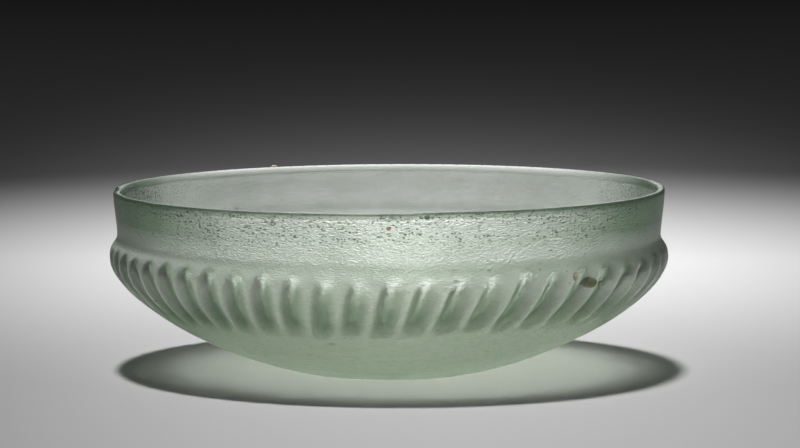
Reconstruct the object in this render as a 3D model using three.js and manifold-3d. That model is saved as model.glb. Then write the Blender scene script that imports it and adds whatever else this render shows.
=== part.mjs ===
// Fluted glass patera: one cast bowl with a plain collar over a band of slanted flutes, and the
// small burial deposits that still cling to it. Millimetres, +Z up. The origin is the centre of
// the base and the front of the bowl faces -Y.
import * as THREE from "three";
import { mergeVertices } from "three/addons/utils/BufferGeometryUtils.js";
import Module from "manifold-3d";

const wasm = await Module();
wasm.setup();
const { clamp, degToRad, lerp } = THREE.MathUtils;

// Heights of the bowl, stacked one on the other
const BODY_HEIGHT = 31.0; // base to the widest line of the shoulder
const SHOULDER_RISE = 6.2; // widest line to the waist under the collar
const COLLAR_HEIGHT = 12.1; // waist to the lip

// Radii of the outer face
const BASE_RADIUS = 26.0;
const SHOULDER_RADIUS = 76.2;
const WAIST_RADIUS = 74.0;
const LIP_RADIUS = 75.0;

// Bends of the outer face: the slope at the base, and each curve's handles as shares of its rise or run
const BASE_SLOPE = degToRad(11.9);
const BASE_FULLNESS = 0.47;
const BODY_FULLNESS = 0.33;
const ROLL_FULLNESS = 0.68;
const WAIST_FULLNESS = 0.44;
const COLLAR_FULLNESS = 0.22;
const LIP_FULLNESS = 0.33;

// Thickness of the glass
const FLOOR_THICKNESS = 3.6;
const BODY_WALL = 4.0;
const COLLAR_WALL = 2.0;
const LIP_WIDTH = 1.2; // flat top of the lip, outside its inner bevel
const LIP_BEVEL_HEIGHT = 2.2;

// Flutes: hollows with blunt heads on the shoulder and tapering feet, divided by narrow ribs
const FLUTE_COUNT = 58;
const FLUTE_LENGTH = 22.4; // along the wall
const FLUTE_HEAD_RISE = 1.8; // heads above the widest line, along the wall
const FLUTE_DEPTH = 1.3;
const FLUTE_TAPER = 1.5; // above 1 the widest place moves towards the head
const FLUTE_LEAN = degToRad(-3.5); // turn of the foot past the head, seen from above
const FLUTE_DRIFT = degToRad(6.0); // the hand-cut spacing opens on the +X side and closes on the -X side
const RIB_WIDTH = 2.4;

// Deposits: width goes round the bowl, height along the wall and relief out of it. Those on the fluted
// band lie in a numbered flute, aside from its middle, and drop below the widest line. The others drop
// below the lip or lie on top of it.
const DEPOSIT_GAP = 0.3;
const FLECK_SINK = 0.5; // depth of the hidden underside that is cut away to fit the glass
const SOIL_LUMP = { flute: 6, aside: 1.4, drop: 1.6, width: 6.0, height: 3.4, relief: 1.5 };
const LIME_FLECK_LEFT = { flute: 6, aside: -3.4, drop: -0.6, width: 2.2, height: 2.6, relief: 1.1 };
const LIME_FLECK_RIGHT = { flute: 7, aside: -1.0, drop: 2.9, width: 2.2, height: 1.8, relief: 0.9 };
const RUST_FLECK = { turn: degToRad(0.1), drop: 3.7, width: 1.9, height: 1.5, relief: 0.9 };
const SOIL_FLECK_FRONT = { turn: degToRad(7.6), drop: 1.1, width: 1.7, height: 1.3, relief: 0.9 };
const SOIL_FLECK_BACK = { turn: degToRad(-153.4), width: 1.9, height: 1.1, relief: 0.9 };

// Finishes
const SEA_GLASS = { color: 0xa9c0ab, roughness: 0.35, metalness: 0 };
const SOIL = { color: 0x5d5638, roughness: 0.95, metalness: 0 };
const LIME = { color: 0xcfcab0, roughness: 0.9, metalness: 0 };
const RUST = { color: 0x9a7a4c, roughness: 0.9, metalness: 0 };

// Fineness of the facets
const FLUTE_COLUMNS = 4;
const FLUTE_STEPS = 6;
const BODY_STEPS = 3;
const ROLL_STEPS = 3;
const COLLAR_STEPS = 3;
const CAVITY_SEGMENTS = 64;
const CAVITY_STEPS = 7;
const CAVITY_OVERSHOOT = 1.0; // the cavity is cut from this far above the lip
const LUMP_DETAIL = 2;
const FLECK_DETAIL = 1;

// Outer face, from the edge of the base up to the lip
const waistHeight = BODY_HEIGHT + SHOULDER_RISE;
const bowlHeight = waistHeight + COLLAR_HEIGHT;
const basePull = BASE_FULLNESS * (SHOULDER_RADIUS - BASE_RADIUS);
const bodyCurve = new THREE.CubicBezierCurve(
  new THREE.Vector2(BASE_RADIUS, 0),
  new THREE.Vector2(BASE_RADIUS + basePull * Math.cos(BASE_SLOPE), basePull * Math.sin(BASE_SLOPE)),
  new THREE.Vector2(SHOULDER_RADIUS, BODY_HEIGHT * (1 - BODY_FULLNESS)),
  new THREE.Vector2(SHOULDER_RADIUS, BODY_HEIGHT),
);
const rollCurve = new THREE.CubicBezierCurve(
  bodyCurve.v3,
  new THREE.Vector2(SHOULDER_RADIUS, BODY_HEIGHT + SHOULDER_RISE * ROLL_FULLNESS),
  new THREE.Vector2(WAIST_RADIUS, waistHeight - SHOULDER_RISE * WAIST_FULLNESS),
  new THREE.Vector2(WAIST_RADIUS, waistHeight),
);
const collarCurve = new THREE.CubicBezierCurve(
  rollCurve.v3,
  new THREE.Vector2(WAIST_RADIUS, waistHeight + COLLAR_HEIGHT * COLLAR_FULLNESS),
  new THREE.Vector2(LIP_RADIUS, bowlHeight - COLLAR_HEIGHT * LIP_FULLNESS),
  new THREE.Vector2(LIP_RADIUS, bowlHeight),
);
const outerFace = new THREE.CurvePath();
outerFace.add(bodyCurve);
outerFace.add(rollCurve);
outerFace.add(collarCurve);
const faceLength = outerFace.getLength();
const shoulderDistance = bodyCurve.getLength();
const waistDistance = shoulderDistance + rollCurve.getLength();
const fluteHead = shoulderDistance + FLUTE_HEAD_RISE;
const fluteFoot = fluteHead - FLUTE_LENGTH;

// A point of a section curve, moved out along the curve's normal
function offsetPoint(curve, share, offset) {
  const tangent = curve.getTangent(share);
  const point = curve.getPoint(share);
  return new THREE.Vector2(point.x + tangent.y * offset, point.y - tangent.x * offset);
}

// Distances along the outer face from one place up to another, without the last one
function stations(from, to, steps) {
  return Array.from({ length: steps }, (_, step) => lerp(from, to, step / steps));
}

// Stations of a flute, close together at its foot and its head
const fluteStations = Array.from({ length: FLUTE_STEPS }, (_, step) => {
  const rise = (1 - Math.cos((Math.PI * step) / FLUTE_STEPS)) / 2;
  return fluteHead - FLUTE_LENGTH * (1 - rise) ** FLUTE_TAPER;
});
const faceStations = [
  ...stations(0, fluteFoot, BODY_STEPS),
  ...fluteStations,
  ...stations(fluteHead, waistDistance, ROLL_STEPS),
  ...stations(waistDistance, faceLength, COLLAR_STEPS),
  faceLength,
];
const facePoints = faceStations.map((distance) => outerFace.getPoint(distance / faceLength));

// The outer face as its facets have it, which is what the deposits rest on
const facetedFace = new THREE.CurvePath();
facePoints.slice(1).forEach((point, index) => {
  facetedFace.add(new THREE.LineCurve(facePoints[index], point));
});

// A closed solid from a geometry whose corners may be doubled
function solidFrom(geometry) {
  const bare = geometry.clone();
  bare.deleteAttribute("normal");
  bare.deleteAttribute("uv");
  const merged = mergeVertices(bare);
  const corners = merged.index.array;
  const kept = [];
  for (let first = 0; first < corners.length; first += 3) {
    const [a, b, c] = corners.slice(first, first + 3);
    if (a !== b && b !== c && c !== a) {
      kept.push(a, b, c);
    }
  }
  const vertProperties = new Float32Array(merged.attributes.position.array);
  return new wasm.Manifold(new wasm.Mesh({ numProp: 3, vertProperties, triVerts: new Uint32Array(kept) }));
}

function geometryFrom(solid) {
  const mesh = solid.getMesh();
  const geometry = new THREE.BufferGeometry();
  geometry.setAttribute("position", new THREE.BufferAttribute(mesh.vertProperties, mesh.numProp));
  geometry.setIndex(new THREE.BufferAttribute(mesh.triVerts, 1));
  return geometry;
}

// Moves every vertex of a geometry to where the rule puts it
function bend(geometry, rule) {
  const position = geometry.attributes.position;
  const vertex = new THREE.Vector3();
  for (let index = 0; index < position.count; index += 1) {
    const moved = rule(vertex.fromBufferAttribute(position, index), index);
    position.setXYZ(index, moved.x, moved.y, moved.z);
  }
  return geometry;
}

// A section point turned about the axis, from the front towards +X
function turned(point, turn) {
  return new THREE.Vector3(point.x * Math.sin(turn), -point.x * Math.cos(turn), point.y);
}

function ribTurn(index) {
  const even = (2 * Math.PI * index) / FLUTE_COUNT;
  return even + FLUTE_DRIFT * (1 - Math.cos(even));
}

function fluteMiddle(index) {
  return (ribTurn(index) + ribTurn(index + 1)) / 2;
}

// How far down its flute a station lies, from 0 at the head to 1 at the foot
function fluteFall(distance) {
  return clamp((fluteHead - distance) / FLUTE_LENGTH, 0, 1);
}

function fluteDepth(distance) {
  return FLUTE_DEPTH * Math.sin(Math.PI * fluteFall(distance) ** (1 / FLUTE_TAPER));
}

// The outer face at one station and one column of the fluting, moved out by the growth
function flutedPoint(distance, column, growth) {
  const index = Math.floor(column / FLUTE_COLUMNS);
  const across = (column % FLUTE_COLUMNS) / (FLUTE_COLUMNS - 1);
  const hollow = fluteDepth(distance) * Math.sin(Math.PI * across);
  const point = offsetPoint(outerFace, distance / faceLength, growth - hollow);
  const halfWidth = (ribTurn(index + 1) - ribTurn(index)) / 2 - RIB_WIDTH / 2 / point.x;
  const lean = FLUTE_LEAN * fluteFall(distance);
  return turned(point, fluteMiddle(index) + lean + (2 * across - 1) * halfWidth);
}

// The bowl before it is hollowed: a lathe whose columns are drawn in to make the flutes
function flutedBlank(growth) {
  const columns = FLUTE_COUNT * FLUTE_COLUMNS;
  const section = [
    new THREE.Vector2(0, -growth),
    ...facePoints,
    new THREE.Vector2(0, bowlHeight + growth),
  ];
  const last = section.length - 1;
  const lathe = new THREE.LatheGeometry(section, columns);
  return solidFrom(bend(lathe, (vertex, index) => {
    const row = index % section.length;
    const column = Math.floor(index / section.length) % columns;
    if (row === 0 || row === last) {
      return turned(section[row], 0);
    }
    const point = flutedPoint(faceStations[row - 1], column, growth);
    return row === last - 1 ? point.setZ(bowlHeight + growth) : point;
  }));
}

// The hollow of the bowl, from its floor to above the lip
function cavity(growth) {
  const inner = Array.from({ length: CAVITY_STEPS + 1 }, (_, step) => {
    const share = step / CAVITY_STEPS;
    return offsetPoint(bodyCurve, share, -lerp(FLOOR_THICKNESS, BODY_WALL, share) - growth);
  });
  const mouthRadius = LIP_RADIUS - LIP_WIDTH - growth;
  const section = [
    new THREE.Vector2(0, FLOOR_THICKNESS + growth),
    ...inner,
    new THREE.Vector2(WAIST_RADIUS - COLLAR_WALL - growth, waistHeight),
    new THREE.Vector2(LIP_RADIUS - COLLAR_WALL - growth, bowlHeight - LIP_BEVEL_HEIGHT),
    new THREE.Vector2(mouthRadius, bowlHeight + growth),
    new THREE.Vector2(mouthRadius, bowlHeight + growth + CAVITY_OVERSHOOT),
    new THREE.Vector2(0, bowlHeight + growth + CAVITY_OVERSHOOT),
  ];
  return solidFrom(new THREE.LatheGeometry(section, CAVITY_SEGMENTS).rotateX(Math.PI / 2));
}

function bowlSolid(growth) {
  return flutedBlank(growth).subtract(cavity(growth));
}

// Seats for deposits: a point of the glass with the directions round, along and out of it
function wallSeat(turn, distance) {
  const share = distance / faceLength;
  const tangent = facetedFace.getTangent(share);
  return {
    point: turned(facetedFace.getPoint(share), turn),
    round: turned(new THREE.Vector2(1, 0), turn + Math.PI / 2),
    along: turned(tangent, turn),
    out: turned(new THREE.Vector2(tangent.y, -tangent.x), turn),
  };
}

// A seat in a numbered flute
function fluteSeat({ flute, aside, drop }) {
  const distance = shoulderDistance - drop;
  const radius = outerFace.getPoint(distance / faceLength).x;
  return wallSeat(fluteMiddle(flute) + FLUTE_LEAN * fluteFall(distance) + aside / radius, distance);
}

function lipSeat(turn) {
  return {
    point: turned(new THREE.Vector2(LIP_RADIUS - LIP_WIDTH / 2, bowlHeight), turn),
    round: turned(new THREE.Vector2(1, 0), turn + Math.PI / 2),
    along: turned(new THREE.Vector2(-1, 0), turn),
    out: new THREE.Vector3(0, 0, 1),
  };
}

// A rounded lump on its seat, cut to lie one gap off the glass
const grownBowl = bowlSolid(DEPOSIT_GAP);
function depositSolid(seat, { width, height, relief }, sink, detail) {
  const ball = new THREE.IcosahedronGeometry(1, detail);
  const lump = bend(ball, ({ x, y, z }) => new THREE.Vector3()
    .copy(seat.point)
    .addScaledVector(seat.round, (x * width) / 2)
    .addScaledVector(seat.along, (y * height) / 2)
    .addScaledVector(seat.out, z * (z > 0 ? relief : sink)));
  return solidFrom(lump).subtract(grownBowl);
}

function namedMesh(name, solid, finish) {
  const mesh = new THREE.Mesh(geometryFrom(solid), new THREE.MeshStandardMaterial(finish));
  mesh.name = name;
  return mesh;
}

const soilLump = depositSolid(fluteSeat(SOIL_LUMP), SOIL_LUMP, FLUTE_DEPTH, LUMP_DETAIL);
const limeLeft = depositSolid(fluteSeat(LIME_FLECK_LEFT), LIME_FLECK_LEFT, FLUTE_DEPTH, FLECK_DETAIL);
const limeRight = depositSolid(fluteSeat(LIME_FLECK_RIGHT), LIME_FLECK_RIGHT, FLUTE_DEPTH, FLECK_DETAIL);
const rustSeat = wallSeat(RUST_FLECK.turn, faceLength - RUST_FLECK.drop);
const rustFleck = depositSolid(rustSeat, RUST_FLECK, FLECK_SINK, FLECK_DETAIL);
const frontSeat = wallSeat(SOIL_FLECK_FRONT.turn, faceLength - SOIL_FLECK_FRONT.drop);
const frontFleck = depositSolid(frontSeat, SOIL_FLECK_FRONT, FLECK_SINK, FLECK_DETAIL);
const backFleck = depositSolid(lipSeat(SOIL_FLECK_BACK.turn), SOIL_FLECK_BACK, FLECK_SINK, FLECK_DETAIL);

const patera = new THREE.Group();
patera.add(
  namedMesh("glass_bowl", bowlSolid(0), SEA_GLASS),
  namedMesh("soil_lump_groove", soilLump, SOIL),
  namedMesh("lime_fleck_groove_left", limeLeft, LIME),
  namedMesh("lime_fleck_groove_right", limeRight, LIME),
  namedMesh("rust_fleck_collar", rustFleck, RUST),
  namedMesh("soil_fleck_front_lip", frontFleck, SOIL),
  namedMesh("soil_fleck_back_lip", backFleck, RUST),
);

export default patera;
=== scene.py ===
import bisect
import math
import random

import bmesh
import bpy
from bpy.props import FloatProperty, FloatVectorProperty, IntProperty, PointerProperty
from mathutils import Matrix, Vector, geometry, kdtree, noise


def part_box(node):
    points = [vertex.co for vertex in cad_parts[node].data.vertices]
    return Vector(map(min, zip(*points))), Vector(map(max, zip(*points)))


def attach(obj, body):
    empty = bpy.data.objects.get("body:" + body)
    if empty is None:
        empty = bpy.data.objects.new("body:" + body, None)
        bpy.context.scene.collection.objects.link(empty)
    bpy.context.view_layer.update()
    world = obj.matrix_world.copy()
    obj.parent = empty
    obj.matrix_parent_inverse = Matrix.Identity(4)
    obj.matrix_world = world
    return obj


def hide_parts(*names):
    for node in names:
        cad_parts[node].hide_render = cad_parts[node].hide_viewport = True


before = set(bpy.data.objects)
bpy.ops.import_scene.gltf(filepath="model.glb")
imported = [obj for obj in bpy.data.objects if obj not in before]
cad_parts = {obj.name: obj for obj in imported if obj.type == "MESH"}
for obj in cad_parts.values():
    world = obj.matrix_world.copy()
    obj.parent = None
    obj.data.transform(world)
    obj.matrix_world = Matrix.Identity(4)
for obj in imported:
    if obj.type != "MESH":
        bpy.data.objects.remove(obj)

bl_info = {
    "name": "Fluted Glass Patera",
    "version": (1, 0, 0),
    "blender": (4, 5, 0),
    "location": "View3D > Sidebar > Patera",
    "description": "Models a weathered bowl of pale green cast glass with its burial deposits",
    "category": "Object",
}

MM = 0.001
FULL_TURN = 2 * math.pi
HAIR = 0.001 * MM

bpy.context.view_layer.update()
BOWL_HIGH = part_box("glass_bowl")[1]


# Settings

def length(name, description, default):
    return FloatProperty(name=name, description=description, default=default, unit="LENGTH")


def angle(name, description, default):
    return FloatProperty(name=name, description=description, default=default, subtype="ANGLE")


def power(name, description, default):
    return FloatProperty(name=name, description=description, default=default, unit="POWER")


def position(name, description, default):
    return FloatVectorProperty(name=name, description=description, default=default, subtype="TRANSLATION")


def tint(name, description, default):
    return FloatVectorProperty(
        name=name, description=description, default=default, subtype="COLOR", min=0, max=1)


class PateraShape(bpy.types.PropertyGroup):
    """Sizes of the glass bowl"""

    height: length("Height", "Base to lip", BOWL_HIGH.z)
    shoulder_radius: length("Shoulder Radius", "Radius of the widest line", BOWL_HIGH.x)
    body_height: length("Body Height", "Base to the widest line of the shoulder", 31.0 * MM)
    shoulder_rise: length("Shoulder Rise", "Widest line to the waist under the collar", 6.2 * MM)
    base_radius: length("Base Radius", "Radius of the flat base", 26.0 * MM)
    waist_radius: length("Waist Radius", "Radius of the outer face under the collar", 74.0 * MM)
    lip_radius: length("Lip Radius", "Outer radius of the lip", 75.0 * MM)
    base_slope: angle("Base Slope", "Slope at which the body leaves the base", math.radians(11.9))
    floor_thickness: length("Floor Thickness", "Glass under the hollow of the bowl", 3.6 * MM)
    body_wall: length("Body Wall", "Thickness of the wall at the shoulder", 2.1 * MM)
    collar_wall: length("Collar Wall", "Thickness of the collar", 2.0 * MM)
    lip_width: length("Lip Width", "Flat top of the lip, outside its inner bevel", 1.2 * MM)
    lip_bevel: length("Lip Bevel", "Height of the ground bevel inside the lip", 2.2 * MM)
    lip_rounding: length("Lip Rounding", "Rounding of the lip's outer edge", 0.35 * MM)
    flute_count: IntProperty(name="Flutes", description="Flutes round the bowl", default=58, min=3)
    flute_length: length("Flute Length", "Length of a flute along the wall", 23.8 * MM)
    flute_head_rise: length("Flute Head Rise", "Heads above the widest line, along the wall", 3.2 * MM)
    flute_depth: length("Flute Depth", "Depth of a flute at its deepest place", 1.5 * MM)
    rib_width: length("Rib Width", "Width of the rib between two flutes", 2.4 * MM)
    flute_lean: angle(
        "Flute Lean", "Turn of a flute's foot past its head, seen from above", math.radians(-3.5))
    flute_drift: angle(
        "Flute Drift", "Opening of the hand-cut spacing on the right side", math.radians(4.5))
    flute_opening: angle(
        "Flute Opening", "Opening of the hand-cut spacing at the front", math.radians(4.4))
    flute_phase: angle("Flute Phase", "Turn of the first rib from the front", math.radians(5.1))


class PateraFinish(bpy.types.PropertyGroup):
    """Colours of the glass, its deposits and the floor, among them painted shade, painted highlights and the
    floor's painted light
    """

    glass: tint("Glass", "Tint of the glass surface", (0.985, 0.99, 0.985))
    depth_tint: tint("Depth Tint", "Colour that light takes on inside the glass", (0.60, 0.80, 0.55))
    # Painted shade: dark green laid where the glass is seen edge-on
    grazing_shade: tint("Grazing", "Tint of the glass where it is looked at along its face", (0.16, 0.27, 0.155))
    frost: tint("Frost", "Colour of the weathered skin", (0.92, 0.97, 0.91))
    body: tint("Body", "Tint of the thicker glass under the collar", (1.0, 1.0, 0.97))
    streak: tint("Streak", "Tint of the fine streaks under the collar", (0.68, 0.80, 0.65))
    # Painted shade: dark green laid in the flutes' hollows
    scoop: tint("Scoop", "Tint of the clear glass in the flutes", (0.18, 0.28, 0.17))
    # Painted highlights: near white on the ground bevel at the back and on the glints over the flutes
    painted_highlight: tint("Pale", "Ground bevel at the back and glints over the flutes", (0.98, 0.99, 0.97))
    # Painted shade: dark green on the flat top and outer edge of the lip
    lip_edge_shade: tint("Lip Edge", "Tint of the flat top of the lip", (0.25, 0.38, 0.28))
    # Painted shade: near black laid in the pits, dashes, flecks and dents
    pit_shade: tint("Grime", "Dirt left in the pits", (0.05, 0.07, 0.045))
    shadow: tint("Shadow", "Light that each face lets into the shadow", (0.22, 0.225, 0.215))
    steep_shadow: tint("Steep Shadow", "The same where the light meets it at a slant", (0.01, 0.01, 0.01))
    soil: tint("Soil", "Hardened burial soil", (0.42, 0.43, 0.27))
    soil_dark: tint("Dark Soil", "Blotches in the soil", (0.24, 0.25, 0.15))
    lime: tint("Lime", "Cream lime crust", (0.90, 0.87, 0.62))
    lime_dark: tint("Dark Lime", "Blotches in the lime", (0.62, 0.58, 0.38))
    rust: tint("Rust", "Iron-stained crust", (0.95, 0.74, 0.48))
    rust_dark: tint("Dark Rust", "Blotches in the rust", (0.74, 0.54, 0.32))
    crust_rim: tint("Crust Rim", "Thin outer rim of every deposit", (0.40, 0.46, 0.36))
    # Painted light on the floor: pale where the painted pool of light lies, dark grey far off as painted
    # shade
    floor: tint("Floor", "Pale floor under the bowl", (0.82, 0.82, 0.82))
    distance: tint("Distance", "Dark grey of the far floor", (0.022, 0.022, 0.022))
    backdrop: tint("Backdrop", "Dark room behind the floor", (0.014, 0.014, 0.014))


class PateraStage(bpy.types.PropertyGroup):
    """Camera and lamps"""

    camera_place: position("Camera Place", "Place of the camera", (3.03 * MM, -1095.5 * MM, 149.2 * MM))
    camera_pitch: angle("Camera Pitch", "How far the camera looks down", 0.100)
    camera_lens: FloatProperty(
        name="Camera Lens", description="Focal length on a 36 mm sensor, in millimetres", default=181.6)
    lamp_place: position("Lamp Place", "Place of the overhead lamp", (-0.20, 0.04, 2.50))
    lamp_width: length("Lamp Width", "Diameter of the overhead lamp", 0.26)
    lamp_power: power("Lamp Power", "Power of the overhead lamp", 70.0)
    panel_place: position("Panel Place", "Place of the weak panel behind the bowl", (0.01, 0.80, 0.17))
    panel_width: length("Panel Width", "Diameter of the weak panel behind the bowl", 0.27)
    panel_power: power("Panel Power", "Power of the weak panel behind the bowl", 0.48)
    fill: FloatProperty(name="Fill", description="Brightness of the light from all round", default=0.03)


# Section curves

def bezier_points(start, first, second, end, steps=80):
    return geometry.interpolate_bezier(Vector(start), Vector(first), Vector(second), Vector(end), steps)


def smooth_step(low, high, value):
    share = min(max((value - low) / (high - low), 0.0), 1.0)
    return share * share * (3 - 2 * share)


def mix(first, second, share):
    return first + (second - first) * share


def spread(start, end, step):
    """Distances from start up to end, evenly spaced at about the step"""
    count = max(round(abs(end - start) / step), 1)
    return [mix(start, end, index / count) for index in range(count + 1)]


def turned(point, turn):
    """A section point turned about the axis, from the front towards +X"""
    return Vector((point.x * math.sin(turn), -point.x * math.cos(turn), point.y))


class Section:
    """A curve of radius and height, read by the distance along it"""

    NORMAL_REACH = 0.3 * MM

    def __init__(self, points):
        self.points = points
        self.distances = [0.0]
        for start, end in zip(points, points[1:]):
            self.distances.append(self.distances[-1] + (end - start).length)
        self.length = self.distances[-1]

    def point(self, distance):
        index = bisect.bisect_right(self.distances, distance)
        index = min(max(index, 1), len(self.points) - 1)
        low, high = self.distances[index - 1], self.distances[index]
        return self.points[index - 1].lerp(self.points[index], (distance - low) / (high - low))

    def normal(self, distance):
        below = self.point(max(distance - self.NORMAL_REACH, 0.0))
        above = self.point(min(distance + self.NORMAL_REACH, self.length))
        along = (above - below).normalized()
        return Vector((along.y, -along.x))


class GlassFace:
    """The bowl's fluted outer face, read by turn and by distance up from the edge of the base"""

    BASE_FULLNESS = 0.47
    BODY_FULLNESS = 0.33
    ROLL_FULLNESS = 0.62
    WAIST_FULLNESS = 0.40
    COLLAR_FULLNESS = 0.22
    LIP_FULLNESS = 0.33
    FRONT_HEAD_RAMP = 7.0 * MM
    SIDE_HEAD_RAMP = 4.5 * MM
    FOOT_RAMP = 7.0 * MM
    HEAD_FADE = 0.8 * MM
    DEEPEST = 0.40
    RIB_ROUNDING = 1.5
    HEAD_ARCH = 1.2 * MM
    FOOT_RISE = 3.2 * MM
    HAND_SEED = 58
    DEPTH_SPREAD = (0.86, 1.12)
    HEAD_SPREAD = 0.5 * MM
    FOOT_SPREAD = 0.8 * MM
    SEARCH_STEP = 0.1 * MM
    EVEN_ROUNDS = 6

    def __init__(self, shape):
        self.shape = shape
        waist_height = shape.body_height + shape.shoulder_rise
        collar_height = shape.height - waist_height
        pull = self.BASE_FULLNESS * (shape.shoulder_radius - shape.base_radius)
        body = bezier_points(
            (shape.base_radius, 0),
            (shape.base_radius + pull * math.cos(shape.base_slope), pull * math.sin(shape.base_slope)),
            (shape.shoulder_radius, shape.body_height * (1 - self.BODY_FULLNESS)),
            (shape.shoulder_radius, shape.body_height))
        roll = bezier_points(
            (shape.shoulder_radius, shape.body_height),
            (shape.shoulder_radius, shape.body_height + shape.shoulder_rise * self.ROLL_FULLNESS),
            (shape.waist_radius, waist_height - shape.shoulder_rise * self.WAIST_FULLNESS),
            (shape.waist_radius, waist_height))
        collar = bezier_points(
            (shape.waist_radius, waist_height),
            (shape.waist_radius, waist_height + collar_height * self.COLLAR_FULLNESS),
            (shape.lip_radius, shape.height - collar_height * self.LIP_FULLNESS),
            (shape.lip_radius, shape.height))
        self.section = Section(body + roll[1:] + collar[1:])
        self.waist_height = waist_height
        self.shoulder = Section(body).length
        self.waist = self.shoulder + Section(roll).length
        self.lip = self.section.length
        self.head = self.shoulder + shape.flute_head_rise
        self.foot = self.head - shape.flute_length
        draw = random.Random(self.HAND_SEED)
        self.flutes = [
            {
                "depth": draw.uniform(*self.DEPTH_SPREAD),
                "head": draw.uniform(-self.HEAD_SPREAD, self.HEAD_SPREAD),
                "foot": draw.uniform(-self.FOOT_SPREAD, self.FOOT_SPREAD),
            }
            for _ in range(shape.flute_count)
        ]

    def fall(self, along):
        """How far down the flutes a place lies, from 0 at the heads to 1 at the feet"""
        return min(max((self.head - along) / self.shape.flute_length, 0.0), 1.0)

    def turn(self, even, along):
        """Where an evenly spaced column lies on the hand-cut, leaning flutes"""
        shape = self.shape
        drift = shape.flute_drift * (1 - math.cos(even)) + shape.flute_opening * math.sin(even)
        return even + drift + shape.flute_phase + shape.flute_lean * self.fall(along)

    def even(self, turn, along):
        """The evenly spaced column that lies at a turn"""
        even = turn
        for _ in range(self.EVEN_ROUNDS):
            even -= self.turn(even, along) - turn
        return even

    def relief(self, even, along):
        """Depth at a column as a share of a full flute, then nearness to a flute's bed and a rib's crest"""
        shape = self.shape
        place = even / FULL_TURN * shape.flute_count
        index = math.floor(place)
        flute = self.flutes[index % shape.flute_count]
        pitch = FULL_TURN * shape.shoulder_radius / shape.flute_count
        rib = shape.rib_width / pitch / 2
        across = min(max((place - index - rib / 2) / (1 - rib), 0.0), 1.0)
        scoop = math.sin(math.pi * across ** (math.log(0.5) / math.log(self.DEEPEST))) ** self.RIB_ROUNDING
        head = self.head + flute["head"] - self.HEAD_ARCH * (1 - scoop)
        foot = self.foot + flute["foot"] + self.FOOT_RISE * math.sin(even)
        ramp = mix(self.FRONT_HEAD_RAMP, self.SIDE_HEAD_RAMP, math.sin(even) ** 2)
        down = smooth_step(head, head - ramp, along)
        up = smooth_step(foot, foot + self.FOOT_RAMP, along)
        cut = smooth_step(head + self.HEAD_FADE, head - self.HEAD_FADE, along) * up
        return flute["depth"] * scoop * down * up, scoop * cut, (1 - scoop) * cut

    def point(self, even, along, lift=0.0):
        depth = self.relief(even, along)[0] * self.shape.flute_depth
        place = self.section.point(along) + self.section.normal(along) * (lift - depth)
        return turned(place, self.turn(even, along))

    def nearest(self, miss):
        """Distance up the face of the place whose section point misses by the least"""
        places = spread(0, self.lip, self.SEARCH_STEP)
        return min(places, key=lambda along: miss(self.section.point(along)))


# The glass bowl

COLUMNS_PER_FLUTE = 2
FINE_CUTS = 6
COARSE_CUTS = 1
FLUTE_STEP = 0.62 * MM
HEAD_STEP = 0.42 * MM
COLLAR_STEP = 0.40 * MM
BODY_STEP = 1.3 * MM
INNER_COLLAR_STEP = 1.2 * MM
INNER_BODY_STEP = 2.2 * MM
FLAT_STEP = 4 * MM
HEAD_REACH = 4 * MM
FOOT_MARGIN = 1.5 * MM
BRIDGE_GAP = 0.9 * MM
CORNER_HANDLE = 0.45
ROUNDING_STEPS = 4
BEVEL_STEPS = 7
ROLL_EVENNESS = 2 / 3
OFF_FACE = -1.0


def lip_points(shape):
    """Section over the lip, from its outer edge to the foot of the inner bevel"""
    rounding = shape.lip_rounding
    outer = bezier_points(
        (shape.lip_radius, shape.height - rounding),
        (shape.lip_radius, shape.height - rounding * CORNER_HANDLE),
        (shape.lip_radius - rounding * CORNER_HANDLE, shape.height),
        (shape.lip_radius - rounding, shape.height), ROUNDING_STEPS)
    top = shape.lip_radius - shape.lip_width
    inside = shape.lip_radius - shape.collar_wall
    bevel = bezier_points(
        (top, shape.height),
        (mix(top, inside, CORNER_HANDLE), shape.height),
        (inside, shape.height - shape.lip_bevel / 2),
        (inside, shape.height - shape.lip_bevel), BEVEL_STEPS)
    return outer + bevel


def inner_points(face):
    """Section of the hollow, from the foot of the lip's bevel down to the middle of the floor"""
    shape = face.shape
    bevel_foot = Vector((shape.lip_radius, shape.height - shape.lip_bevel))
    top = face.nearest(lambda point: (point - bevel_foot).length)
    body = []
    for along in spread(top, face.head, INNER_COLLAR_STEP)[:-1] + spread(face.head, 0, INNER_BODY_STEP):
        wall = mix(shape.floor_thickness, shape.body_wall, min(along / face.shoulder, 1.0))
        wall = mix(wall, shape.collar_wall, smooth_step(face.shoulder, face.waist, along))
        inward = face.section.normal(along)
        if along > face.shoulder:
            inward = inward.lerp(Vector((1, 0)), ROLL_EVENNESS)
        body.append(face.section.point(along) - inward * wall)
    floor = [Vector((radius, shape.floor_thickness)) for radius in spread(body[-1].x, 0, FLAT_STEP)]
    return body + floor[1:]


def goes_round(edge):
    first, second = (vert.co for vert in edge.verts)
    level = abs(first.z - second.z) < HAIR
    return level and abs(first.xy.length - second.xy.length) < HAIR


def spin_section(bm, section, columns):
    """Spins section points, each with its distance up the outer face, and gives the edges that go round"""
    along_layer = bm.verts.layers.float["along"]
    verts = []
    for point, along in section:
        vert = bm.verts.new((0, -point.x, point.y))
        vert[along_layer] = along
        verts.append(vert)
    edges = [bm.edges.new(pair) for pair in zip(verts, verts[1:])]
    before = set(bm.edges) - set(edges)
    bmesh.ops.spin(
        bm, geom=verts + edges, cent=(0, 0, 0), axis=(0, 0, 1), angle=FULL_TURN,
        steps=columns, use_merge=True, use_duplicate=False)
    return [edge for edge in bm.edges if edge not in before and goes_round(edge)]


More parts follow.
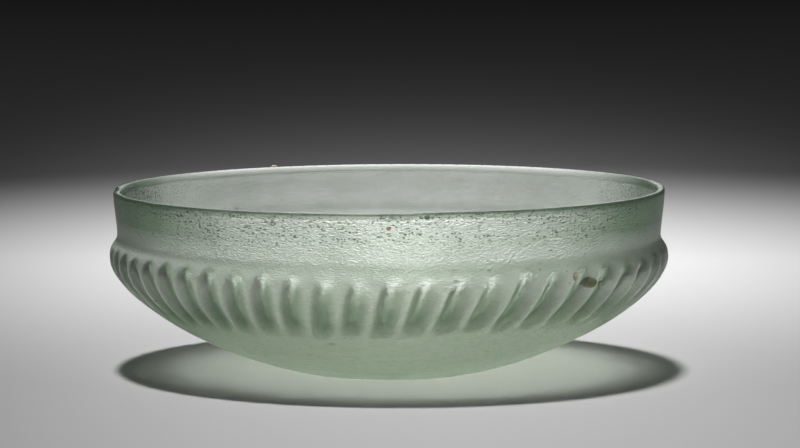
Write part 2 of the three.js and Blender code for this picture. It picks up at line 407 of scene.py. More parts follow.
def spin_bowl(bm, face):
    """The bowl's skin before it is shaped: a fine outer band and lip, and coarser base and hollow"""
    shape = face.shape
    bm.verts.layers.float.new("along")
    low = face.foot - face.FOOT_RISE - FOOT_MARGIN
    below_heads = face.head - HEAD_REACH
    outer = spread(low, below_heads, FLUTE_STEP)
    outer += spread(below_heads, face.waist, HEAD_STEP)[1:]
    outer += spread(face.waist, face.lip - shape.lip_rounding, COLLAR_STEP)[1:-1]
    band = [(face.section.point(along), along) for along in outer]
    band += [(point, OFF_FACE) for point in lip_points(shape)]
    base = [(Vector((radius, 0)), OFF_FACE) for radius in spread(0, shape.base_radius, FLAT_STEP)[:-1]]
    base += [(face.section.point(along), along) for along in spread(0, low - BRIDGE_GAP, BODY_STEP)]
    hollow = [(point, OFF_FACE) for point in inner_points(face)[1:]]
    columns = shape.flute_count * COLUMNS_PER_FLUTE
    coarse = spin_section(bm, base, columns) + spin_section(bm, hollow, columns)
    fine = spin_section(bm, band, columns)
    bmesh.ops.subdivide_edges(bm, edges=coarse, cuts=COARSE_CUTS, use_grid_fill=True)
    bmesh.ops.subdivide_edges(bm, edges=fine, cuts=FINE_CUTS, use_grid_fill=True)
    bmesh.ops.remove_doubles(bm, verts=bm.verts, dist=HAIR)
    rims = [edge for edge in bm.edges if edge.is_boundary]
    for upper in (False, True):
        loops = [edge for edge in rims if (edge.verts[0].co.z > shape.body_height) == upper]
        bmesh.ops.bridge_loops(bm, edges=loops)
    bmesh.ops.recalc_face_normals(bm, faces=bm.faces)


# Turn (degrees) and height of each dent, then its half length, half height and depth (millimetres)

DENTS = (
    (13.2, 32.2, 0.9, 0.8, 0.35),
    (20.1, 34.6, 0.8, 0.7, 0.22),
    (12.9, 34.9, 0.8, 0.7, 0.20),
    (29.5, 35.3, 0.7, 0.6, 0.16),
    (31.5, 35.6, 0.7, 0.6, 0.16),
    (-4.3, 45.4, 0.7, 0.6, 0.18),
    (-23.5, 9.8, 1.6, 1.4, 0.25),
    (-14.1, 14.0, 1.8, 1.0, 0.20),
    # The crack under the collar, as a row of shallow dents
    (-0.2, 35.5, 0.6, 0.5, 0.07),
    (0.3, 35.5, 0.6, 0.5, 0.07),
    (0.8, 35.4, 0.6, 0.5, 0.08),
    (1.3, 35.4, 0.6, 0.5, 0.08),
    (1.8, 35.4, 0.6, 0.5, 0.08),
    (2.3, 35.5, 0.6, 0.5, 0.08),
    (2.7, 35.8, 0.6, 0.5, 0.08),
    (2.9, 36.3, 0.5, 0.6, 0.08),
    (3.0, 36.9, 0.5, 0.6, 0.08),
    (3.2, 37.5, 0.5, 0.6, 0.08),
    (3.3, 38.1, 0.5, 0.6, 0.07),
)
DENT_SEARCH = 2.0 * MM
FULL_DENT = 0.2 * MM
BASE_CALM = 6 * MM
LIP_MARGIN = 0.1 * MM
TOP_MARGIN = 0.01 * MM
FACES_UP = 0.5
RIM_TILT = 0.4 * MM
RIM_STEP = 0.2 * MM
STEP_REACH = (math.radians(4.8), math.radians(5.6))
STEP_FADE = (math.radians(6), math.radians(60))
CHIP_TURN = math.radians(-89)
CHIP_REACH = math.radians(5)
CHIP_WIDTH = 1.7 * MM
CHIP_DEPTH = 1.0 * MM
CHIP_FOOT = 2.5 * MM
WAVE_LENGTH = 17 * MM
WAVE_HEIGHT = 0.10 * MM
FACE_MARKS = ("hollow", "ridge", "dent", "inside", "edge", "bevel")


def dent_depths(face, verts):
    """Depth of denting at each vertex of the outer face"""
    tree = kdtree.KDTree(len(verts))
    for index, vert in enumerate(verts):
        tree.insert(vert.co, index)
    tree.balance()
    depths = [0.0] * len(verts)
    for turn, height, half_length, half_height, depth in DENTS:
        turn = math.radians(turn)
        along = face.nearest(lambda point: abs(point.y - height * MM))
        middle = face.point(face.even(turn, along), along)
        round_way = turned(Vector((1, 0)), turn + math.pi / 2)
        for spot, index, distance in tree.find_range(middle, DENT_SEARCH):
            sideways = (spot - middle).dot(round_way)
            upright = math.sqrt(max(distance ** 2 - sideways ** 2, 0.0))
            offset = math.hypot(sideways / half_length, upright / half_height) / MM
            depths[index] = max(depths[index], depth * MM * (1 - smooth_step(0.0, 1.0, offset)))
    return depths


def wander(point):
    """Slow unevenness of the cast glass"""
    return noise.noise(point / WAVE_LENGTH) * WAVE_HEIGHT


def rim_lift(face, point, turn):
    """Lean of the lip, low on the left and high on the right, with a small step near the front"""
    lift = RIM_TILT * math.sin(turn)
    lift += RIM_STEP * smooth_step(*STEP_REACH, turn) * (1 - smooth_step(*STEP_FADE, turn))
    return lift * smooth_step(face.waist_height, face.shape.height, point.z)


def chip_drop(face, point, turn):
    """How far the chipped left end of the lip lies below the rest"""
    shape = face.shape
    near = 1 - smooth_step(0.0, CHIP_REACH, abs(turn - CHIP_TURN))
    outer = smooth_step(shape.lip_radius - CHIP_WIDTH, shape.lip_radius - CHIP_WIDTH / 2, point.xy.length)
    high = smooth_step(shape.height - CHIP_FOOT, shape.height, point.z)
    return CHIP_DEPTH * near * outer * high


def shape_bowl(bm, face):
    """Cuts the flutes and dents into the spun skin, and lets it wander as cast glass does"""
    along_layer = bm.verts.layers.float["along"]
    hollow_layer, ridge_layer, dent_layer, inside_layer, edge_layer, bevel_layer = (
        bm.verts.layers.float.new(name) for name in FACE_MARKS)
    shape = face.shape
    bm.normal_update()
    outer = []
    for vert in bm.verts:
        even = math.atan2(vert.co.x, -vert.co.y)
        along = vert[along_layer]
        if along == OFF_FACE:
            inward = vert.normal.xy.dot(vert.co.xy) < 0 or vert.normal.z > FACES_UP
            radius = vert.co.xy.length
            if vert.co.z > shape.height - shape.lip_bevel + LIP_MARGIN:
                on_top = radius > shape.lip_radius - shape.lip_width - TOP_MARGIN
                vert[edge_layer if on_top else bevel_layer] = 1.0
            elif inward:
                vert[inside_layer] = 1.0
            vert.co = turned(Vector((radius, vert.co.z)), face.turn(even, face.lip))
            continue
        _, vert[hollow_layer], vert[ridge_layer] = face.relief(even, along)
        vert.co = face.point(even, along)
        outer.append(vert)
    for vert, depth in zip(outer, dent_depths(face, outer)):
        vert[dent_layer] = min(depth / FULL_DENT, 1.0)
        along = vert[along_layer]
        sink = turned(face.section.normal(along), math.atan2(vert.co.x, -vert.co.y))
        vert.co -= sink * (depth + wander(vert.co) * smooth_step(0, BASE_CALM, along))
    for vert in bm.verts:
        turn = math.atan2(vert.co.x, -vert.co.y)
        vert.co.z += rim_lift(face, vert.co, turn) - chip_drop(face, vert.co, turn)


# Shader nodes

SMOOTH = "SMOOTHSTEP"
MIX_SHARE = 0
MIX_FIRST = 6
MIX_SECOND = 7
MIX_COLOUR = 2


def opaque(colour):
    return (*colour, 1.0)


class ShaderTree:
    """A node tree that is filled by short calls, most of which give an output socket"""

    def __init__(self, tree):
        tree.nodes.clear()
        self.tree = tree

    def add(self, kind, inputs=(), **settings):
        """A node with its settings, its sockets set to values or linked to other sockets"""
        made = self.tree.nodes.new(kind)
        for name, value in settings.items():
            setattr(made, name, value)
        for name, value in dict(inputs).items():
            if isinstance(value, bpy.types.NodeSocket):
                self.tree.links.new(value, made.inputs[name])
            else:
                made.inputs[name].default_value = value
        return made

    def calculate(self, operation, first, second=0.0, third=0.0, clamp=False):
        inputs = {0: first, 1: second, 2: third}
        return self.add("ShaderNodeMath", inputs, operation=operation, use_clamp=clamp).outputs[0]

    def times(self, first, *others):
        for other in others:
            first = self.calculate("MULTIPLY", first, other)
        return first

    def plus(self, total, value, share, clamp=False):
        """A total with a share of a value added to it"""
        return self.calculate("MULTIPLY_ADD", value, share, total, clamp)

    def ramp(self, value, low, high, to_low=0.0, to_high=1.0, curve="LINEAR"):
        """A value taken from one range to another, and held at its ends"""
        inputs = {"Value": value, "From Min": low, "From Max": high, "To Min": to_low, "To Max": to_high}
        return self.add("ShaderNodeMapRange", inputs, interpolation_type=curve).outputs[0]

    def mix(self, share, first, second):
        """A share of the second colour over the first, each a plain colour or a socket"""
        first, second = (
            value if isinstance(value, bpy.types.NodeSocket) else opaque(value) for value in (first, second))
        inputs = {MIX_SHARE: share, MIX_FIRST: first, MIX_SECOND: second}
        return self.add("ShaderNodeMix", inputs, data_type="RGBA").outputs[MIX_COLOUR]

    def attribute(self, name):
        return self.add("ShaderNodeAttribute", attribute_name=name).outputs["Fac"]

    def place(self):
        """Coordinates on the object itself"""
        return self.add("ShaderNodeTexCoord").outputs["Object"]

    def split(self, vector):
        return self.add("ShaderNodeSeparateXYZ", {0: vector}).outputs

    def stretched(self, vector, upright):
        """Coordinates on which a pattern is wider than it is high"""
        return self.add("ShaderNodeMapping", {"Vector": vector, "Scale": (1, 1, upright)}).outputs[0]

    def noise(self, vector, scale, detail, roughness):
        inputs = {"Vector": vector, "Scale": scale, "Detail": detail, "Roughness": roughness}
        return self.add("ShaderNodeTexNoise", inputs).outputs["Fac"]

    def speckle(self, vector, scale, core, reach, share):
        """Scattered spots, one in some of the cells of a pattern"""
        cells = self.add("ShaderNodeTexVoronoi", {"Vector": vector, "Scale": scale}, feature="F1")
        spots = self.ramp(cells.outputs["Distance"], core, reach, 1.0, 0.0)
        chosen = self.add("ShaderNodeSeparateColor", {0: cells.outputs["Color"]}).outputs[0]
        return self.times(spots, self.calculate("LESS_THAN", chosen, share))


def new_material(name):
    material = bpy.data.materials.new(name)
    material.use_nodes = True
    return material, ShaderTree(material.node_tree)


# Materials

class GlassSkin:
    """Patterns and masks of the weathered glass, with painted shade and painted highlights, and the shader
    inputs that they make
    """

    # Upright stretch of the patterns
    GRAIN_STRETCH = 2.2
    STREAK_STRETCH = 4.0
    DASH_STRETCH = 4.5

    # Scale, detail and roughness of each noise
    GRAIN = (1150.0, 2.0, 0.6)
    PATCHES = (110.0, 4.0, 0.6)
    STREAKS = (420.0, 4.0, 0.75)

    # Scale, core and reach of each kind of spot, and the share of cells that hold one
    PITS = (1000.0, 0.18, 0.38, 0.55)
    DASHES = (400.0, 0.15, 0.30, 0.60)
    FLECKS = (240.0, 0.05, 0.13, 0.35)
    GLINTS = (1300.0, 0.20, 0.40, 0.35)
    BLISTERS = (85.0, 0.05, 0.11, 0.50)

    # Parts of a pattern's range over which a layer comes in
    CLOUD_RANGE = (0.20, 0.80)
    STREAK_RANGE = (0.33, 0.55)
    CLUMP_RANGE = (0.38, 0.56)
    GLINT_RANGE = (0.46, 0.58)
    HAZE_RANGE = (0.40, 0.64)
    CREST_RANGE = (0.35, 0.90)

    # Heights over which a layer comes in or ends
    LOW_MIST_THINS = (14 * MM, 32 * MM)
    INNER_FILM_ENDS = (20 * MM, 31 * MM)
    BODY_ENDS = (27 * MM, 33 * MM)
    GLINTS_START = (31.0 * MM, 32.2 * MM)
    GLINTS_END = (33.4 * MM, 34.4 * MM)
    ROLL_STARTS = (31 * MM, 34 * MM)
    ROLL_ENDS = (36 * MM, 40 * MM)
    COLLAR_STARTS = (31 * MM, 36 * MM)
    PITS_START = (36 * MM, 43 * MM)
    GRAZING_STARTS = (37 * MM, 42 * MM)

    # Distances behind the middle over which a layer comes in or ends
    ROLL_SIDES = (-74 * MM, -40 * MM)
    BACK_HIGHLIGHT_STARTS = (15 * MM, 60 * MM)
    WEAR_ENDS = (20 * MM, 60 * MM)

    # Slopes to the line of sight over which painted shade comes in, and over which a face's shadow darkens
    GRAZING_SLOPES = (0.02, 0.48)
    SCOOP_SHADE_SLOPES = (0.05, 0.38)
    SHADOW_SLOPES = (0.05, 0.30)

    # Strength of each layer, at both ends of its range where there are two
    BACK_HIGHLIGHT_SHARES = (0.05, 1.0)
    WEAR_SHARES = (1.0, 0.2)
    CLUMP_SHARES = (0.15, 1.0)
    FLECK_SHARE = 0.6
    DENT_SHARE = 0.45
    GLINT_SHARE = 0.6
    PIT_SHADE_SHARE = 0.9
    COLLAR_GRAZING = (0.12, 1.0)
    INNER_GRAZING = (1.0, 0.3)
    SCOOP_SHADE_SHARES = (0.22, 0.94)
    CLOUD_FILM = (0.02, 0.08)
    PIT_FILM = 0.6
    PAINTED_HIGHLIGHT_FILM = 0.4
    CREST_FILM = 0.12
    INNER_FILM = 0.10
    BLISTER_FILM = 0.35
    HAZE_FILM = (0.0, 0.06)
    BEVEL_FILM = 0.4
    LOW_MIST = (0.12, 0.05)
    STREAKY_MIST = (0.3, 1.7)
    ROLL_SIDE_SHADE = (0.0, 0.25)
    OUTER_ROUGHNESS = (0.285, 0.31)
    INNER_ROUGHNESS = 0.12
    BEVEL_ROUGHNESS = 0.3
    GRAIN_SHARES = (0.7, 1.0)
    PIT_RELIEF = -0.5
    GRAIN_HEIGHT = 0.28 * MM
    REFRACTION = 1.5
    DENSITY = 72.0

    def __init__(self, shader, finish):
        self.shader = shader
        self.finish = finish
        self.place = shader.place()
        _, self.behind, self.height = shader.split(self.place)
        self.hollow, self.ridge, self.dent, self.inside, self.edge, bevel = (
            shader.attribute(name) for name in FACE_MARKS)
        # The ground bevel, frosted and painted near white mostly at the back, where it stands as a painted
        # highlight
        self.bevel = shader.times(bevel, shader.ramp(self.behind, *self.BACK_HIGHLIGHT_STARTS, *self.BACK_HIGHLIGHT_SHARES))
        self.outside = shader.calculate("SUBTRACT", 1.0, self.inside)
        self.worn = shader.times(
            self.outside, shader.ramp(self.behind, *self.WEAR_ENDS, *self.WEAR_SHARES))
        self.slope = shader.add("ShaderNodeLayerWeight", {"Blend": 0.5}).outputs["Facing"]
        self.grained = shader.stretched(self.place, self.GRAIN_STRETCH)
        self.patches = shader.noise(self.grained, *self.PATCHES)
        self.cloud = shader.ramp(self.patches, *self.CLOUD_RANGE)
        streaks = shader.noise(shader.stretched(self.place, self.STREAK_STRETCH), *self.STREAKS)
        self.streaks = shader.ramp(streaks, *self.STREAK_RANGE)
        self.pits_and_shade = self.make_pits_and_shade()
        # Painted highlights on the back of the bevel and on the glints
        self.painted_highlight = shader.calculate("MAXIMUM", self.bevel, self.make_glints())

    def make_pits_and_shade(self):
        """Pits and dashes of the upper collar, scattered flecks and the dents, which sink the grain and are
        painted dark as painted shade
        """
        shader = self.shader
        pits = shader.speckle(self.grained, *self.PITS)
        dashes = shader.speckle(shader.stretched(self.place, self.DASH_STRETCH), *self.DASHES)
        pits_and_shade = shader.times(
            shader.calculate("MAXIMUM", pits, dashes),
            shader.ramp(self.patches, *self.CLUMP_RANGE, *self.CLUMP_SHARES),
            shader.ramp(self.height, *self.PITS_START), self.worn)
        flecks = shader.times(shader.speckle(self.grained, *self.FLECKS), self.worn)
        pits_and_shade = shader.plus(pits_and_shade, flecks, self.FLECK_SHARE, clamp=True)
        return shader.plus(pits_and_shade, self.dent, self.DENT_SHARE, clamp=True)

    def make_glints(self):
        """Painted glints: small bright spots along the line of the flutes' heads"""
        shader = self.shader
        return shader.times(
            shader.speckle(self.place, *self.GLINTS),
            shader.ramp(self.height, *self.GLINTS_START),
            shader.ramp(self.height, *self.GLINTS_END, 1.0, 0.0),
            shader.ramp(self.patches, *self.GLINT_RANGE), self.outside, self.GLINT_SHARE)

    def colour(self):
        """Tint of the glass, laid over in turn by its streaks, by painted shade edge-on, in the flutes, in
        the pits and on the lip's top, and by painted highlights
        """
        shader = self.shader
        finish = self.finish
        # Painted shade where the face is seen edge-on, full on the collar and weaker low down and inside
        edge_on_shade = shader.times(
            shader.ramp(self.slope, *self.GRAZING_SLOPES),
            shader.ramp(self.height, *self.GRAZING_STARTS, *self.COLLAR_GRAZING),
            shader.ramp(self.inside, 0.0, 1.0, *self.INNER_GRAZING))
        # Painted shade in the flutes' hollows, stronger where they are seen at a slant
        scoop = shader.times(self.hollow, shader.ramp(self.slope, *self.SCOOP_SHADE_SLOPES, *self.SCOOP_SHADE_SHARES))
        body = shader.ramp(self.height, *self.BODY_ENDS, 1.0, 0.0, SMOOTH)
        layers = (
            (body, shader.mix(self.streaks, finish.streak, finish.body)),
            (edge_on_shade, finish.grazing_shade),
            (scoop, finish.scoop),
            # Painted shade in the pits, dashes, flecks and dents
            (shader.times(self.pits_and_shade, self.PIT_SHADE_SHARE), finish.pit_shade),
            (self.painted_highlight, finish.painted_highlight),
            (self.edge, finish.lip_edge_shade),
        )
        colour = shader.mix(self.cloud, finish.glass, finish.frost)
        for share, layer in layers:
            colour = shader.mix(share, colour, layer)
        return colour

    def roughness(self):
        shader = self.shader
        outer = shader.ramp(self.cloud, 0.0, 1.0, *self.OUTER_ROUGHNESS)
        both = shader.ramp(self.inside, 0.0, 1.0, outer, self.INNER_ROUGHNESS)
        return shader.plus(both, self.bevel, self.BEVEL_ROUGHNESS)

    def mist_and_roll_shade(self):
        """Thin bloom on the outer face, streaky on the body; and painted shade on the sides of the roll, as
        a film that is nowhere at its front
        """
        shader = self.shader
        low = shader.times(
            shader.ramp(self.height, *self.LOW_MIST_THINS, *self.LOW_MIST),
            shader.ramp(self.streaks, 0.0, 1.0, *self.STREAKY_MIST))
        # Painted shade: film on the sides of the roll, none at its front
        roll = shader.times(
            shader.ramp(self.height, *self.ROLL_STARTS),
            shader.ramp(self.height, *self.ROLL_ENDS, 1.0, 0.0),
            shader.ramp(self.behind, *self.ROLL_SIDES, *self.ROLL_SIDE_SHADE))
        return shader.calculate("ADD", low, roll)

    def clearness(self):
        """How much light goes through the face and the film that lies on it"""
        shader = self.shader
        crest = shader.ramp(self.ridge, *self.CREST_RANGE, curve=SMOOTH)
        low_inside = shader.times(self.inside, shader.ramp(self.height, *self.INNER_FILM_ENDS, 1.0, 0.0))
        blisters = shader.times(shader.speckle(self.place, *self.BLISTERS), self.BLISTER_FILM)
        clouds = shader.ramp(self.patches, *self.HAZE_RANGE, *self.HAZE_FILM)
        haze = shader.calculate("ADD", blisters, clouds)
        layers = (
            (self.pits_and_shade, self.PIT_FILM),
            (self.painted_highlight, self.PAINTED_HIGHLIGHT_FILM),
            (crest, self.CREST_FILM),
            (low_inside, self.INNER_FILM),
            (haze, self.inside),
            (self.bevel, self.BEVEL_FILM),
            (self.mist_and_roll_shade(), self.outside),
        )
        film = shader.ramp(self.cloud, 0.0, 1.0, *self.CLOUD_FILM)
        for layer, share in layers:
            film = shader.plus(film, layer, share)
        return shader.calculate("SUBTRACT", 1.0, film, clamp=True)

    def normal(self):
        """Fine grain of the outer face, sunk at the pits"""
        shader = self.shader
        grain = shader.plus(shader.noise(self.grained, *self.GRAIN), self.pits_and_shade, self.PIT_RELIEF)
        strength = shader.ramp(self.height, *self.COLLAR_STARTS, *self.GRAIN_SHARES, SMOOTH)
        return shader.add("ShaderNodeBump", {
            "Height": shader.times(grain, strength, self.worn),
            "Strength": 1.0, "Distance": self.GRAIN_HEIGHT}).outputs[0]

    def surface(self):
        """The glass, with a plain see-through face for the rays that carry its shadow"""
        shader = self.shader
        finish = self.finish
        skin = shader.add("ShaderNodeBsdfPrincipled", {
            "Base Color": self.colour(), "Roughness": self.roughness(),
            "Transmission Weight": self.clearness(), "IOR": self.REFRACTION, "Normal": self.normal()})
        steep = shader.ramp(self.slope, *self.SHADOW_SLOPES, curve=SMOOTH)
        shadow = shader.add("ShaderNodeBsdfTransparent", {
            "Color": shader.mix(steep, finish.shadow, finish.steep_shadow)})
        is_shadow = shader.add("ShaderNodeLightPath").outputs["Is Shadow Ray"]
        return shader.add("ShaderNodeMixShader", {
            0: is_shadow, 1: skin.outputs[0], 2: shadow.outputs[0]}).outputs[0]


def glass_material(finish):
    """Pale green glass under a weathered, frosted skin, with painted shade and painted highlights"""
    material, shader = new_material("sea_glass")
    depth = shader.add("ShaderNodeVolumeAbsorption", {
        "Color": opaque(finish.depth_tint), "Density": GlassSkin.DENSITY})
    shader.add("ShaderNodeOutputMaterial", {
        "Surface": GlassSkin(shader, finish).surface(), "Volume": depth.outputs[0]})
    return material


CRUMBS = (1600.0, 5.0, 0.65)
BLOTCHES = (520.0, 2.0, 0.5)
BLOTCH_RANGE = (0.35, 0.65)
CORE_RANGE = (0.05, 0.90)
CRUMB_STRENGTH = 0.8
CRUMB_HEIGHT = 0.15 * MM
CRUST_ROUGHNESS = 0.92


def crust_material(name, colour, dark, rim):
    """Matt crumbly deposit that thins to a rim of another tone"""
    material, shader = new_material(name)
    place = shader.place()
    blotches = shader.ramp(shader.noise(place, *BLOTCHES), *BLOTCH_RANGE)
    core = shader.ramp(shader.attribute("core"), *CORE_RANGE, curve=SMOOTH)
    bump = shader.add("ShaderNodeBump", {
        "Height": shader.noise(place, *CRUMBS), "Strength": CRUMB_STRENGTH, "Distance": CRUMB_HEIGHT})
    skin = shader.add("ShaderNodeBsdfPrincipled", {
        "Base Color": shader.mix(core, rim, shader.mix(blotches, dark, colour)),
        "Roughness": CRUST_ROUGHNESS, "Normal": bump.outputs[0]})
    shader.add("ShaderNodeOutputMaterial", {"Surface": skin.outputs[0]})
    return material


# Painted pool of light on the floor: its middle, spread and strength, a painted dimming towards the front,
# and a painted glow along the middle line behind
POOL_ACROSS = 0.020
POOL_BEHIND = 0.273
POOL_NARROWING = 1.25
POOL_REACH = (0.03, 0.40)
POOL_SHARES = (0.71, 0.0)
FRONT_STRETCH = -0.25
FRONT_REACH = (0.0, -0.32)
FRONT_SHARES = (1.0, 0.55)
GLOW_LENGTH = -0.25
GLOW_REACH = (0.0, 0.26)
GLOW_SHARES = (0.42, 0.0)


def floor_material(finish):
    """Pale floor with a painted pool of light, brightest behind the bowl, that falls off to the dark grey of
    the distance as painted shade
    """
    material, shader = new_material("pale_floor")
    across, behind, _ = shader.split(shader.place())
    across = shader.calculate("SUBTRACT", across, POOL_ACROSS)
    behind = shader.calculate("SUBTRACT", behind, POOL_BEHIND)
    front = shader.ramp(behind, *FRONT_REACH, *FRONT_SHARES, SMOOTH)
    away = shader.calculate("MAXIMUM", behind, shader.times(behind, FRONT_STRETCH))
    pool = shader.add("ShaderNodeCombineXYZ", {"X": shader.times(across, POOL_NARROWING), "Y": away})
    reach = shader.add("ShaderNodeVectorMath", {0: pool.outputs[0]}, operation="LENGTH").outputs["Value"]
    near = shader.ramp(reach, *POOL_REACH, *POOL_SHARES, SMOOTH)
    glow = shader.times(
        shader.calculate("EXPONENT", shader.calculate("DIVIDE", away, GLOW_LENGTH)),
        shader.ramp(shader.calculate("ABSOLUTE", across), *GLOW_REACH, *GLOW_SHARES, SMOOTH))
    near = shader.times(shader.calculate("ADD", near, glow, clamp=True), front)
    skin = shader.add("ShaderNodeBsdfPrincipled", {
        "Base Color": shader.mix(near, finish.distance, finish.floor),
        "Roughness": 1.0, "Specular IOR Level": 0.0})
    shader.add("ShaderNodeOutputMaterial", {"Surface": skin.outputs[0]})
    return material


def room_world(finish, fill):
    """Soft light from all round, with a dark room where the world itself is seen"""
    world = bpy.data.worlds.new("studio")
    world.use_nodes = True
    shader = ShaderTree(world.node_tree)
    path = shader.add("ShaderNodeLightPath").outputs
    seen = shader.calculate("ADD", path["Is Camera Ray"], path["Is Glossy Ray"])
    seen = shader.calculate("ADD", seen, path["Is Transmission Ray"], clamp=True)
    light = shader.add("ShaderNodeBackground", {"Color": (1, 1, 1, 1), "Strength": fill})
    backdrop = shader.add("ShaderNodeBackground", {"Color": opaque(finish.backdrop), "Strength": 1.0})
    room = shader.add("ShaderNodeMixShader", {0: seen, 1: light.outputs[0], 2: backdrop.outputs[0]})
    shader.add("ShaderNodeOutputWorld", {"Surface": room.outputs[0]})
    return world


# Pieces

def finish_piece(bm, name, material):
    """An object at the origin from a finished bmesh"""
    mesh = bpy.data.meshes.new(name)
    bm.to_mesh(mesh)
    bm.free()
    mesh.shade_smooth()
    mesh.materials.append(material)
    piece = bpy.data.objects.new(name, mesh)
    bpy.context.scene.collection.objects.link(piece)
    return piece


# Node and slot of each deposit, then its width, height, relief and shift to the right

DEPOSITS = (
    ("soil_lump_groove", "burial_soil", 4.8 * MM, 2.9 * MM, 1.1 * MM, 1.6 * MM),
    ("lime_fleck_groove_left", "lime_crust", 1.6 * MM, 2.2 * MM, 0.8 * MM, 0.6 * MM),
    ("lime_fleck_groove_right", "lime_crust", 1.3 * MM, 1.8 * MM, 0.7 * MM, 1.4 * MM),
    ("rust_fleck_collar", "rust_stain", 1.2 * MM, 1.0 * MM, 0.5 * MM, 0.0),
    ("soil_fleck_front_lip", "burial_soil", 1.4 * MM, 1.2 * MM, 0.5 * MM, 0.0),
    ("soil_fleck_back_lip", "rust_stain", 1.8 * MM, 1.1 * MM, 0.6 * MM, 0.0),
)
DEPOSIT_SINK = 0.35 * MM
DEPOSIT_SUBDIVISIONS = 5
SEED_BY_TURN = 40
SEED_BY_HEIGHT = 900

# Share of its size by which a deposit is uneven, and how finely

DEPOSIT_LUMPS = ((0.22, 1.6), (0.10, 4.5))


def lip_place(face, turn, aside, ahead, lift):
    """A place on the flat top of the lip"""
    seat = turned(Vector((face.shape.lip_radius - face.shape.lip_width / 2, face.shape.height)), turn)
    round_way = turned(Vector((1, 0)), turn + math.pi / 2)
    in_way = turned(Vector((-1, 0)), turn)
    return seat + round_way * aside + in_way * ahead + Vector((0, 0, lift))


def wall_place(face, turn, along, aside, lift):
    """A place on the outer face"""
    even = face.even(turn + aside / face.section.point(along).x, along)
    return face.point(even, along, lift)


def deposit_mesh(face, node, width, height, relief, shift):
    """A crumbly lump that hugs the glass where its solid lies"""
    low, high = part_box(node)
    centre = (low + high) / 2
    target = Vector((centre.xy.length, centre.z))
    turn = math.atan2(centre.x, -centre.y) + shift / target.x
    along = face.nearest(lambda point: (point - target).length)
    bm = bmesh.new()
    bmesh.ops.create_icosphere(bm, subdivisions=DEPOSIT_SUBDIVISIONS, radius=1)
    seed = Vector((turn * SEED_BY_TURN, along * SEED_BY_HEIGHT, 0))
    core_layer = bm.verts.layers.float.new("core")
    for vert in bm.verts:
        rough = 1 + sum(share * noise.noise(vert.co * scale + seed) for share, scale in DEPOSIT_LUMPS)
        spot = vert.co * rough
        vert[core_layer] = max(vert.co.z, 0.0)
        aside = spot.x * width / 2
        ahead = spot.y * height / 2
        lift = spot.z * (relief if spot.z > 0 else DEPOSIT_SINK)
        if centre.z > face.shape.height:
            vert.co = lip_place(face, turn, aside, ahead, lift)
        else:
            vert.co = wall_place(face, turn, along + ahead, aside, lift)
        vert.co.z += rim_lift(face, vert.co, turn)
    bmesh.ops.recalc_face_normals(bm, faces=bm.faces)
    return bm


class PATERA_OT_make_bowl(bpy.types.Operator):
    """Model the glass bowl with its collar, flutes, dents and lip"""

    bl_idname = "patera.make_bowl"
    bl_label = "Make Glass Bowl"

    def execute(self, context):
        face = GlassFace(context.scene.patera_shape)
        bm = bmesh.new()
        spin_bowl(bm, face)
        shape_bowl(bm, face)
        piece = finish_piece(bm, "patera_glass", glass_material(context.scene.patera_finish))
        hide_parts("glass_bowl")
        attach(piece, "root")
        return {"FINISHED"}


class PATERA_OT_make_deposits(bpy.types.Operator):
    """Model the soil, lime and rust that cling to the glass"""

    bl_idname = "patera.make_deposits"
    bl_label = "Make Deposits"

    def execute(self, context):
        finish = context.scene.patera_finish
        face = GlassFace(context.scene.patera_shape)
        tones = {
            "burial_soil": (finish.soil, finish.soil_dark),
            "lime_crust": (finish.lime, finish.lime_dark),
            "rust_stain": (finish.rust, finish.rust_dark),
        }
        crusts = {slot: crust_material(slot, *tone, finish.crust_rim) for slot, tone in tones.items()}
        for node, slot, *size in DEPOSITS:
            bm = deposit_mesh(face, node, *size)
            piece = finish_piece(bm, "crust_" + node, crusts[slot])
            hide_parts(node)
            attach(piece, "root")
        return {"FINISHED"}


# Stage

FLOOR_GAP = 0.1 * MM
FLOOR_REACH = 6.0
FLOOR_SQUARES = 8
SENSOR_WIDTH = 36.0
SIGHT_RANGE = 50.0


def hang_lamp(name, place, aim, width, strength):
    """A round lamp that points at a place and stays out of the camera's view"""
    lamp = bpy.data.lights.new(name, "AREA")
    lamp.shape = "DISK"
    lamp.size = width
    lamp.energy = strength
    hung = bpy.data.objects.new(name, lamp)
    hung.location = place
    hung.rotation_euler = (Vector(place) - Vector(aim)).to_track_quat("Z", "Y").to_euler()
    hung.visible_camera = False
    bpy.context.scene.collection.objects.link(hung)
    return hung


def place_camera(scene, stage):
    camera = bpy.data.cameras.new("camera")
    camera.lens = stage.camera_lens
    camera.sensor_width = SENSOR_WIDTH
    camera.clip_end = SIGHT_RANGE
    placed = bpy.data.objects.new("camera", camera)
    placed.location = stage.camera_place
    placed.rotation_euler = (math.pi / 2 - stage.camera_pitch, 0, 0)
    scene.collection.objects.link(placed)
    scene.camera = placed


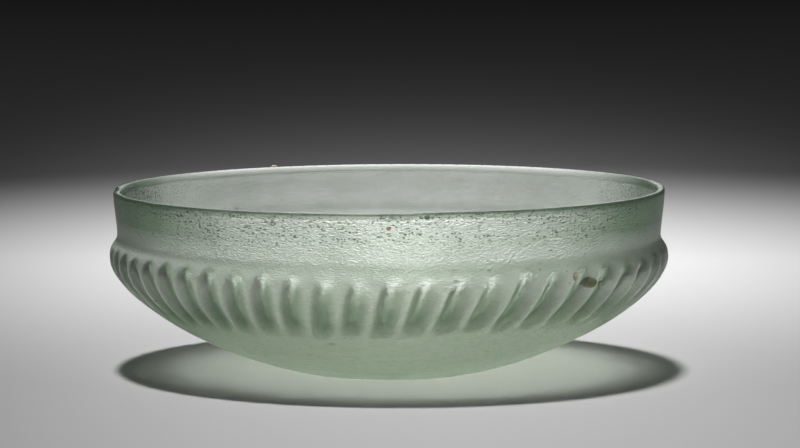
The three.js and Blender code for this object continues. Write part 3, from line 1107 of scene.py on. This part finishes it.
class PATERA_OT_set_stage(bpy.types.Operator):
    """Lay the floor, hang the lamps and place the camera"""

    bl_idname = "patera.set_stage"
    bl_label = "Set Stage"

    def execute(self, context):
        scene = context.scene
        stage = scene.patera_stage
        finish = scene.patera_finish
        bm = bmesh.new()
        bmesh.ops.create_grid(bm, x_segments=FLOOR_SQUARES, y_segments=FLOOR_SQUARES, size=FLOOR_REACH)
        bmesh.ops.translate(bm, verts=bm.verts, vec=(0, 0, -FLOOR_GAP))
        floor = finish_piece(bm, "floor", floor_material(finish))
        lamp = hang_lamp("overhead_lamp", stage.lamp_place, (0, 0, 0), stage.lamp_width, stage.lamp_power)
        lamp.visible_transmission = False
        across = (0, 0, stage.panel_place[2])
        panel = hang_lamp("back_panel", stage.panel_place, across, stage.panel_width, stage.panel_power)
        panel.visible_diffuse = False
        scene.world = room_world(finish, stage.fill)
        place_camera(scene, stage)
        scene.view_settings.view_transform = "Standard"
        return {"FINISHED"}


class PATERA_PT_sidebar(bpy.types.Panel):
    """Steps that build the patera"""

    bl_idname = "PATERA_PT_sidebar"
    bl_label = "Patera"
    bl_space_type = "VIEW_3D"
    bl_region_type = "UI"
    bl_category = "Patera"

    def draw(self, context):
        for operator in (PATERA_OT_make_bowl, PATERA_OT_make_deposits, PATERA_OT_set_stage):
            self.layout.operator(operator.bl_idname)


GROUPS = {
    "patera_shape": PateraShape,
    "patera_finish": PateraFinish,
    "patera_stage": PateraStage,
}
CLASSES = (
    *GROUPS.values(),
    PATERA_OT_make_bowl,
    PATERA_OT_make_deposits,
    PATERA_OT_set_stage,
    PATERA_PT_sidebar,
)


def register():
    for made in CLASSES:
        bpy.utils.register_class(made)
    for name, group in GROUPS.items():
        setattr(bpy.types.Scene, name, PointerProperty(type=group))


def unregister():
    for name in GROUPS:
        delattr(bpy.types.Scene, name)
    for made in reversed(CLASSES):
        bpy.utils.unregister_class(made)


def main():
    register()
    bpy.ops.patera.make_bowl()
    bpy.ops.patera.make_deposits()
    bpy.ops.patera.set_stage()


if __name__ == "__main__":
    main()
